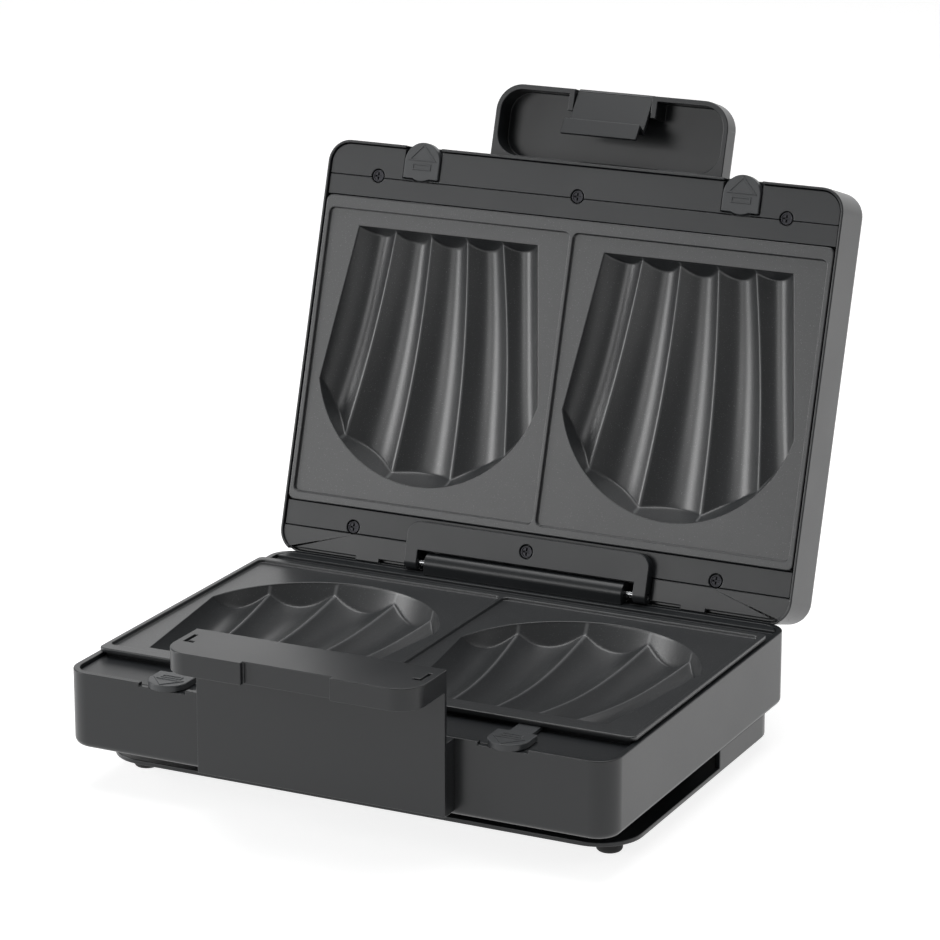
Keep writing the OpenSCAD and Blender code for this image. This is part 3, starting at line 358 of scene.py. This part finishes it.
MOUTH_ROUND = 0.45 * MM
RIM_ROUND = 0.5 * MM
FLANGE_BEVEL = 0.2 * MM
ARC_STEPS = 4


def pocket_plan(s, t, grow):
    """Plan of a pocket: flute line s fans out from the straight front edge to the round back edge."""
    front = Vector((s * (POCKET_FRONT_W / 2 + grow), POCKET_FRONT_Y - grow))
    turn = s * POCKET_ARC_HALF
    back = Vector((math.sin(turn), math.cos(turn))) * (POCKET_R + grow) + Vector((0, POCKET_CY))
    return front.lerp(back, t)


def ridge_depth(s, t):
    across = abs(s)
    if across <= FLUTE_PITCH / 2:
        share = 1
    elif across <= FLUTE_PITCH * 1.5:
        share = lerp(1, OUTER_RIDGE_SHARE, (across - FLUTE_PITCH / 2) / FLUTE_PITCH)
    else:
        share = lerp(OUTER_RIDGE_SHARE, 0, (across - FLUTE_PITCH * 1.5) / FLUTE_PITCH)
    return share * (lerp(RIDGE_FRONT, RIDGE_BACK, t) + RIDGE_SAG * math.sin(math.pi * t))


def flute_hollow(s):
    """Hollow of a flute between its two ridges: 1 in the middle, nearly 0 on the softened crests."""
    middle = round(s / FLUTE_PITCH) * FLUTE_PITCH
    off = min(1.0, abs(s - middle) / (FLUTE_PITCH / 2))
    soft = RIDGE_ROUND if abs(s) < 1 - FLUTE_PITCH / 2 else 0.0
    off = 1 - math.hypot(1 - off, soft)
    return 1 - off * off


def smooth_least(first, second, blend):
    """The lesser of two depths, with a round of size blend where they meet."""
    near = max(blend - abs(first - second), 0.0) / blend
    return min(first, second) - near * near * blend / 4


def pocket_depth(s, t):
    full = ridge_depth(s, t) + FLUTE_DEPTH * flute_hollow(s)
    wall = WALL_STEEP * POCKET_LEN * min(t, 1 - t)
    return max(0.0, smooth_least(full, wall, WALL_BLEND))


def crest_highlight_mask(s, t):
    """1 on the top of an inner ridge, where the coating gets its painted highlight, 0 elsewhere."""
    line = (s + 1) / FLUTE_PITCH
    off = abs(line - round(line)) * 2
    return 1.0 if off < CREST_HIGHLIGHT_SHARE and 0 < round(line) < FLUTES else 0.0


def belly_depth(s, t):
    edge = min(1.0, (1 - abs(s)) / BELLY_EDGE)
    slope = 1 - (1 - min(1.0, t / BELLY_WALL, (1 - t) / BELLY_WALL)) ** BELLY_CURVE
    return slope * edge * (ridge_depth(s, t) + FLUTE_DEPTH * BELLY_SHARE)


def rounded_plan(x0, x1, y0, y1, r, grow=0.0, steps=6):
    """Points round a rectangle with round corners, grown by grow, from its lower right corner on."""
    r = r + grow
    plan = []
    for cx, cy, quarter in ((x1, y0, 3), (x1, y1, 0), (x0, y1, 1), (x0, y0, 2)):
        cx += (grow - r) if cx == x1 else (r - grow)
        cy += (grow - r) if cy == y1 else (r - grow)
        for i in range(steps + 1):
            turn = (quarter + i / steps) * math.pi / 2
            plan.append((cx + r * math.cos(turn), cy + r * math.sin(turn)))
    return plan


def ring(bm, place, plan, z):
    return [bm.verts.new(place @ Vector((x, y, z))) for x, y in plan]


def skirt(bm, outer, inner):
    for i in range(len(outer)):
        j = (i + 1) % len(outer)
        bm.faces.new((outer[i], outer[j], inner[j], inner[i])).smooth = True


def flat(bm, outer, holes):
    """Fills a flat face between an outer ring and rings that are holes in it."""
    rings = [outer] + holes
    verts = [vert for each in rings for vert in each]
    for triangle in tessellate_polygon([[vert.co for vert in each] for each in rings]):
        bm.faces.new([verts[i] for i in triangle])


def net(bm, place, columns, rows, grow, height):
    """A net of quads over a pocket's plan. Gives the ring of its outer points."""
    crest_highlight = bm.verts.layers.float.get("crest_highlight") or bm.verts.layers.float.new("crest_highlight")
    grid = []
    for t in rows:
        line = []
        for s in columns:
            x, y = pocket_plan(s, t, grow)
            vert = bm.verts.new(place @ Vector((x, y, height(s, t))))
            # marks the ridge tops of the flute net for the coating's painted highlight
            vert[crest_highlight] = crest_highlight_mask(s, t) if grow == 0 else 0.0
            line.append(vert)
        grid.append(line)
    for lower, upper in zip(grid, grid[1:]):
        for i in range(len(lower) - 1):
            bm.faces.new((lower[i], lower[i + 1], upper[i + 1], upper[i])).smooth = True
    right = [line[-1] for line in grid[1:-1]]
    left = [line[0] for line in grid[1:-1]]
    return grid[0] + right + grid[-1][::-1] + left[::-1]


def outline_of_net(columns, rows, grow):
    """The plan of the same ring of outer points, at another growth."""
    around = [(s, rows[0]) for s in columns] + [(columns[-1], t) for t in rows[1:-1]]
    around += [(s, rows[-1]) for s in reversed(columns)] + [(columns[0], t) for t in reversed(rows[1:-1])]
    return [tuple(pocket_plan(s, t, grow)) for s, t in around]


def flute_columns(steps):
    """Lines across a pocket that crowd towards the ridges."""
    columns = [-1.0]
    for flute in range(FLUTES):
        middle = -1 + FLUTE_PITCH * (flute + 0.5)
        for i in range(1, steps + 1):
            columns.append(middle + FLUTE_PITCH / 2 * math.sin(math.pi / 2 * (2 * i / steps - 1)))
    return columns


def pocket_rows(wall_steps, steps):
    """Lines along a pocket that crowd on its end walls."""
    wall = [END_WALL * (i / wall_steps) for i in range(wall_steps)]
    middle = [END_WALL + (1 - 2 * END_WALL) * i / steps for i in range(steps + 1)]
    return wall + middle + [1 - t for t in reversed(wall)]


def quarter_ring(i, steps):
    """(how far along, how far down) a quarter round after i of its steps."""
    turn = math.pi / 2 * i / steps
    return math.sin(turn), 1 - math.cos(turn)


def cooking_plate(name, node, place):
    """One casting: rimmed halves, fluted pockets, flange, neck and bellies, drawn with its rim at z = 0."""
    bm = bmesh.new()
    bm.verts.layers.float.new("crest_highlight")
    half_w = PLATE_W / 2

    def outline(grow, z, r=PLATE_CORNER_R):
        plan = rounded_plan(-half_w, half_w, PLATE_FRONT_Y, PLATE_BACK_Y, r, grow)
        return ring(bm, place, plan, z)

    # outside, from the rim down to the neck's seat
    rings = []
    for i in range(ARC_STEPS + 1):
        out, down = quarter_ring(i, ARC_STEPS)
        rings.append(outline((out - 1) * RIM_ROUND, -down * RIM_ROUND))
    rings.append(outline(0, -FLANGE_T + FLANGE_BEVEL))
    rings.append(outline(-FLANGE_BEVEL, -FLANGE_T))
    rings.append(outline(-NECK_INSET, -FLANGE_T))
    rings.append(outline(-NECK_INSET, -PLATE_RISE))
    for outer, inner in zip(rings, rings[1:]):
        skirt(bm, outer, inner)

    columns = flute_columns(16)
    rows = pocket_rows(14, 40)
    belly_columns = [-1, -0.9, -0.75, -0.5, -0.25, 0, 0.25, 0.5, 0.75, 0.9, 1]
    belly_rows = pocket_rows(3, 12)
    cells, bellies = [], []
    for side in (-1, 1):
        half = place @ Matrix.Translation((side * CELL_X, 0, 0))
        reach = (CELL_OUT - CELL_IN) / 2

        def cell(grow, z):
            plan = rounded_plan(-reach, reach, CELL_FRONT_Y, CELL_BACK_Y, CELL_CORNER_R, grow)
            return ring(bm, half, plan, z)

        # the edge of the rim, the wall under it, and the round into the cell's floor
        steps = []
        for i in range(ARC_STEPS + 1):
            out, down = quarter_ring(i, ARC_STEPS)
            steps.append(cell((1 - out) * RIM_ROUND, -down * RIM_ROUND))
        for i in range(ARC_STEPS + 1):
            out, down = quarter_ring(ARC_STEPS - i, ARC_STEPS)
            steps.append(cell((out - 1) * RIM_ROUND, -CELL_DROP + down * RIM_ROUND))
        for outer, inner in zip(steps, steps[1:]):
            skirt(bm, outer, inner)
        cells.append(steps[0])

        # the pocket's round mouth and its net of flutes
        mouth = []
        for i in range(ARC_STEPS + 1):
            out, down = quarter_ring(i, ARC_STEPS)
            plan = outline_of_net(columns, rows, (1 - out) * MOUTH_ROUND)
            mouth.append(ring(bm, half, plan, -CELL_DROP - down * MOUTH_ROUND))
        for outer, inner in zip(mouth, mouth[1:]):
            skirt(bm, outer, inner)
        flat(bm, steps[-1], [mouth[0]])
        floor = net(bm, half, columns, rows, 0.0,
                    lambda s, t: -CELL_DROP - MOUTH_ROUND - pocket_depth(s, t))
        skirt(bm, mouth[-1], floor)

        # the belly under the pocket
        belly = net(bm, half, belly_columns, belly_rows, POCKET_WALL,
                    lambda s, t: -PLATE_RISE - POCKET_WALL / 2 - belly_depth(s, t))
        top = ring(bm, half, outline_of_net(belly_columns, belly_rows, POCKET_WALL), -PLATE_RISE)
        skirt(bm, top, belly)
        bellies.append(top)
    flat(bm, rings[0], cells)
    flat(bm, rings[-1], bellies)
    bmesh.ops.remove_doubles(bm, verts=bm.verts, dist=0.001 * MM)
    bmesh.ops.recalc_face_normals(bm, faces=bm.faces)
    return piece(name, bm, COATING, BODY_OF[node], "plate_coating", node)


cooking_plate("lower_cooking_plate_casting", "lower_plate", LOWER)
cooking_plate("upper_cooking_plate_casting", "upper_plate", UPPER)


# ---- housings, trims and handles ----

for node in ("base_housing", "undertray", "base_handle", "lid_shell", "lid_handle", "hinge_block"):
    eased(node, HOUSING, "housing")
for node in ("base_deck", "lid_front_trim", "lid_frame", "hinge_cover"):
    eased(node, TRIM, "deck")
for node in ("lower_left_catch", "lower_right_catch", "upper_left_catch", "upper_right_catch"):
    eased(node, CATCH, "deck")
eased("latch_clip", CLIP, "deck")
eased("feet", RUBBER, "foot_rubber", 0.6 * MM)
eased("cord_gland", HOUSING, "housing")

# ---- screws ----

SCREW_SIZES = {"Head Radius": 2.7 * MM, "Head Height": 2 * MM, "Shank Radius": 1.4 * MM,
               "Rim Width": 0.55 * MM, "Rim Height": 0.3 * MM,
               "Cross Length": 3.3 * MM, "Cross Width": 0.75 * MM, "Cross Depth": 1.2 * MM}


def screw_tree():
    """Puts a cross-head screw on every point, head down, as long as the point's length attribute says."""
    tree = bpy.data.node_groups.new("screws", "GeometryNodeTree")
    tree.interface.new_socket("Points", in_out="INPUT", socket_type="NodeSocketGeometry")
    for name in SCREW_SIZES:
        tree.interface.new_socket(name, in_out="INPUT", socket_type="NodeSocketFloat")
    tree.interface.new_socket("Finish", in_out="INPUT", socket_type="NodeSocketMaterial")
    tree.interface.new_socket("Screws", in_out="OUTPUT", socket_type="NodeSocketGeometry")
    graph = Graph(tree)
    given = tree.nodes.new("NodeGroupInput")
    size = {name: Value(graph, given.outputs[name]) for name in SCREW_SIZES}
    points = Value(graph, given.outputs["Points"])

    def vector(x, y, z):
        return graph.node("ShaderNodeCombineXYZ", {}, {0: x, 1: y, 2: z})

    def cylinder(radius, depth, sides):
        return graph.node("GeometryNodeMeshCylinder", {},
                          {"Vertices": sides, "Radius": radius, "Depth": depth})

    def moved(thing, up):
        return graph.node("GeometryNodeTransform", {},
                          {"Geometry": thing, "Translation": vector(0.0, 0.0, up)})

    def bar(x, y):
        return graph.node("GeometryNodeMeshCube", {}, {"Size": vector(x, y, size["Cross Depth"] * 2)})

    head = moved(cylinder(size["Head Radius"], size["Head Height"], 40), size["Head Height"] * 0.5)
    dish = cylinder(size["Head Radius"] - size["Rim Width"], size["Rim Height"] * 2, 40)
    cross = [bar(size["Cross Length"], size["Cross Width"]), bar(size["Cross Width"], size["Cross Length"])]
    head = graph.node("GeometryNodeMeshBoolean", {"operation": "DIFFERENCE", "solver": "EXACT"},
                      {"Mesh 1": head, "Mesh 2": [dish] + cross})
    shank = moved(cylinder(size["Shank Radius"], 1.0, 20), 0.5)
    long = graph.node("GeometryNodeInputNamedAttribute", {"data_type": "FLOAT"}, {"Name": "length"})
    heads = graph.node("GeometryNodeInstanceOnPoints", {}, {"Points": points, "Instance": head})
    shanks = graph.node("GeometryNodeInstanceOnPoints", {},
                        {"Points": moved(points, size["Head Height"]), "Instance": shank,
                         "Scale": vector(1.0, 1.0, long - size["Head Height"])})
    both = graph.node("GeometryNodeJoinGeometry", {}, {"Geometry": [heads, shanks]})
    real = graph.node("GeometryNodeRealizeInstances", {}, {"Geometry": both})
    done = graph.node("GeometryNodeSetMaterial", {},
                      {"Geometry": real, "Material": Value(graph, given.outputs["Finish"])})
    tree.links.new(done.socket, tree.nodes.new("NodeGroupOutput").inputs["Screws"])
    return tree


SCREWS = screw_tree()


def screws(node, matrix, *groups):
    """The screws of a CAD node. A group says the height of its heads, its length, and its places."""
    points = [((x, y, z), long) for z, long, places in groups for x, y in places]
    mesh = bpy.data.meshes.new(node)
    mesh.from_pydata([place for place, _ in points], [], [])
    mesh.attributes.new("length", "FLOAT", "POINT").data.foreach_set("value", [long for _, long in points])
    host = bpy.data.objects.new(node + "_points", mesh)
    bpy.context.scene.collection.objects.link(host)
    maker = host.modifiers.new("screws", "NODES")
    maker.node_group = SCREWS
    for socket in SCREWS.interface.items_tree:
        if socket.in_out == "INPUT" and socket.name in SCREW_SIZES:
            maker[socket.identifier] = SCREW_SIZES[socket.name]
        if socket.name == "Finish":
            maker[socket.identifier] = BLACK_STEEL
    made = bpy.data.meshes.new_from_object(host.evaluated_get(bpy.context.evaluated_depsgraph_get()))
    bpy.data.objects.remove(host)
    bm = bmesh.new()
    bm.from_mesh(made)
    bmesh.ops.transform(bm, matrix=matrix, verts=bm.verts)
    for face in bm.faces:
        face.smooth = True
    softened(piece(node + "_dressed", bm, BLACK_STEEL, BODY_OF[node], "screw_steel", node), 0.1 * MM, 35)


# Places of the screws on the closed toaster, typed from the part's own sizes.
FRONT_SCREW_X, FRONT_SCREW_Y = 99.5 * MM, 14.5 * MM
REAR_SCREW_X, REAR_SCREW_Y = 89 * MM, 174.2 * MM
COVER_SCREW_Y = 173.6 * MM
HANDLE_SCREW_X, HANDLE_SCREW_Y = 40 * MM, 6.0 * MM
TRAY_SCREW_X, TRAY_SCREW_YS = 69.6 * MM, (62.4 * MM, 142.5 * MM)
DECK_SCREW_X, DECK_SCREW_YS = 108 * MM, (15.5 * MM, 171.5 * MM)

# Height of the heads' faces over the table, and length with the head, for each kind of screw.
TRIM_SCREW = (57.9 * MM, 16 * MM)
COVER_SCREW = (52.9 * MM, 20 * MM)
HANDLE_SCREW = (82.4 * MM, 8 * MM)
TRAY_SCREW = (7.2 * MM, 18.3 * MM)
DECK_SCREW = (16.7 * MM, 14.5 * MM)


def pair(x, *ys):
    return [(side * x, y) for y in ys for side in (-1, 1)]


front_screws = [(side * FRONT_SCREW_X, FRONT_SCREW_Y) for side in (-1, 0, 1)]
screws("lid_screws", LID,
       (*TRIM_SCREW, front_screws + pair(REAR_SCREW_X, REAR_SCREW_Y)),
       (*COVER_SCREW, [(0, COVER_SCREW_Y)]),
       (*HANDLE_SCREW, pair(HANDLE_SCREW_X, HANDLE_SCREW_Y)))
screws("undertray_screws", BASE, (*TRAY_SCREW, pair(TRAY_SCREW_X, *TRAY_SCREW_YS)))
screws("deck_screws", BASE, (*DECK_SCREW, pair(DECK_SCREW_X, *DECK_SCREW_YS)))


SIGN_LINE = 0.3 * MM   # half the width of a raised line
SIGN_RISE = 0.3 * MM
SIGN_SINK = 0.05 * MM
SIGN_TIP_Y = 1.2 * MM   # places of the sign from the tip of the catch
SIGN_BASE_Y = 8 * MM
SIGN_HALF_W = 6.3 * MM
BAR_Y = (10 * MM, 12.2 * MM)
BAR_HALF_W = 4.3 * MM


def offset_plan(plan, out):
    """A convex plan, turning left, whose sides are moved outwards."""
    moved = []
    for i, corner in enumerate(plan):
        here = Vector(corner)
        into = (here - Vector(plan[i - 1])).normalized()
        away = (Vector(plan[(i + 1) % len(plan)]) - here).normalized()
        normal = Vector((into.y + away.y, -into.x - away.x)).normalized()
        moved.append(here + normal * (out / normal.dot(Vector((away.y, -away.x)))))
    return moved


def raised_line(bm, place, plan):
    """A raised line round a plan, with sloping sides."""
    rings = [ring(bm, place, offset_plan(plan, out), z)
             for out, z in ((SIGN_LINE * 1.5, -SIGN_SINK), (SIGN_LINE * 0.8, SIGN_RISE),
                            (-SIGN_LINE * 0.8, SIGN_RISE), (-SIGN_LINE * 1.5, -SIGN_SINK))]
    for outer, inner in zip(rings, rings[1:] + rings[:1]):
        skirt(bm, outer, inner)


def catch_sign(node, matrix, x, z, facing):
    """A triangle over a bar, raised on the face of a catch that the fingers touch."""
    bm = bmesh.new()
    place = matrix @ Matrix.Translation((x, -CATCH_OUT, z)) @ Matrix.Diagonal((1, 1, facing, 1))
    raised_line(bm, place, [(0, SIGN_TIP_Y), (SIGN_HALF_W, SIGN_BASE_Y), (-SIGN_HALF_W, SIGN_BASE_Y)])
    raised_line(bm, place, [(-BAR_HALF_W, BAR_Y[0]), (BAR_HALF_W, BAR_Y[0]),
                            (BAR_HALF_W, BAR_Y[1]), (-BAR_HALF_W, BAR_Y[1])])
    bmesh.ops.recalc_face_normals(bm, faces=bm.faces)
    for face in bm.faces:
        face.smooth = False
    piece(node + "_sign", bm, CATCH, BODY_OF[node], "deck")


LOWER_CATCH_FACE_Z = 53.4 * MM
UPPER_CATCH_FACE_Z = 56.6 * MM
for node, side in (("left_catch", -1), ("right_catch", 1)):
    catch_sign("lower_" + node, BASE, side * CATCH_X, LOWER_CATCH_FACE_Z, 1)
    catch_sign("upper_" + node, LID, side * CATCH_X, UPPER_CATCH_FACE_Z, -1)


def carried(node, finish):
    """A CAD node that stays as it is and gets a finer material."""
    slots = frame["nodes"][node].material_slots
    for each in slots:
        each.material = finish


carried("lower_reflector", SHEET)
carried("upper_reflector", SHEET)
carried("lower_heating_element", SHEATH)
carried("upper_heating_element", SHEATH)
carried("hinge_pin", STEEL)
carried("latch_pin", STEEL)
carried("lower_catch_springs", STEEL)
carried("upper_catch_springs", STEEL)
carried("terminal_block", CREAM)
carried("thermostat", BRASS)
carried("thermal_fuse", STEEL)
carried("red_lamp_lens", RED)
carried("green_lamp_lens", GREEN)


# ---- stage, lamps and camera ----

def white_for_the_camera(name, shade, glow):
    """White where the camera or a reflection sees it, and a plain matte surface for all other light."""
    def build(graph):
        path = graph.node("ShaderNodeLightPath", out="Is Camera Ray")
        glossy = Value(graph, path.socket.node.outputs["Is Glossy Ray"])
        clear = Value(graph, path.socket.node.outputs["Is Transmission Ray"])
        seen = path + glossy + clear
        matte = graph.node("ShaderNodeBsdfDiffuse", {}, {"Color": shade})
        lit = graph.node("ShaderNodeEmission", {}, {"Color": (1.0, 1.0, 1.0, 1.0), "Strength": glow})
        both = graph.node("ShaderNodeAddShader", {}, {0: matte, 1: lit})
        return graph.node("ShaderNodeMixShader", {}, {0: seen, 1: matte, 2: both})
    return material(name, build)


def staged_sheet(name, corners, finish):
    mesh = bpy.data.meshes.new(name)
    mesh.from_pydata(corners, [], [(0, 1, 2, 3)])
    mesh.materials.append(finish)
    made = bpy.data.objects.new(name, mesh)
    bpy.context.scene.collection.objects.link(made)


STAGE_HALF = 4.0
BACKDROP_Y = 3.0
BACKDROP_H = 3.0
staged_sheet("floor", [(-STAGE_HALF, -STAGE_HALF, 0), (STAGE_HALF, -STAGE_HALF, 0),
                       (STAGE_HALF, BACKDROP_Y, 0), (-STAGE_HALF, BACKDROP_Y, 0)],
             white_for_the_camera("floor_white", (0.5, 0.5, 0.5, 1.0), 0.82))
staged_sheet("backdrop", [(-STAGE_HALF, BACKDROP_Y, 0), (STAGE_HALF, BACKDROP_Y, 0),
                          (STAGE_HALF, BACKDROP_Y, BACKDROP_H), (-STAGE_HALF, BACKDROP_Y, BACKDROP_H)],
             white_for_the_camera("backdrop_white", (0.5, 0.5, 0.5, 1.0), 0.95))


def softbox(name, place, aim, width, height, power):
    lamp = bpy.data.lights.new(name, "AREA")
    lamp.shape = "RECTANGLE"
    lamp.size = width
    lamp.size_y = height
    lamp.energy = power
    made = bpy.data.objects.new(name, lamp)
    made.location = place
    made.rotation_euler = (Vector(aim) - Vector(place)).to_track_quat("-Z", "Y").to_euler()
    bpy.context.scene.collection.objects.link(made)
    return made


MIDDLE = (0.0, 0.0, 0.1)
softbox("top_softbox", (-0.1, 0.2, 1.5), MIDDLE, 1.4, 1.2, 16)
softbox("left_softbox", (-2.3, -1.1, 0.6), (0, 0.05, 0.15), 0.8, 1.6, 30)
softbox("front_softbox", (-1.3, -2.6, 0.85), MIDDLE, 1.3, 0.9, 13)
softbox("right_softbox", (1.5, 0.4, 0.8), MIDDLE, 0.8, 1.2, 2.5)

world = bpy.data.worlds.new("studio")
world.use_nodes = True
world.node_tree.nodes["Background"].inputs["Color"].default_value = (1.0, 1.0, 1.0, 1.0)
world.node_tree.nodes["Background"].inputs["Strength"].default_value = 0.2
bpy.context.scene.world = world

CAMERA_LENS = 146.6   # in millimetres, as the sensor's width
SENSOR_W = 36
camera = bpy.data.cameras.new("camera")
camera.lens = CAMERA_LENS
camera.sensor_width = SENSOR_W
viewer = bpy.data.objects.new("camera", camera)
CAMERA_PLACE = Vector((0.6905, -1.4018, 0.5835))
CAMERA_AIM = Vector((0.17562, -0.35375, 0.2386))
CAMERA_ROLL = math.radians(0.042)
turn = (CAMERA_AIM - CAMERA_PLACE).to_track_quat("-Z", "Y").to_matrix().to_4x4()
viewer.matrix_world = Matrix.Translation(CAMERA_PLACE) @ turn @ Matrix.Rotation(CAMERA_ROLL, 4, "Z")
bpy.context.scene.collection.objects.link(viewer)
bpy.context.scene.camera = viewer
bpy.context.scene.view_settings.view_transform = "Standard"
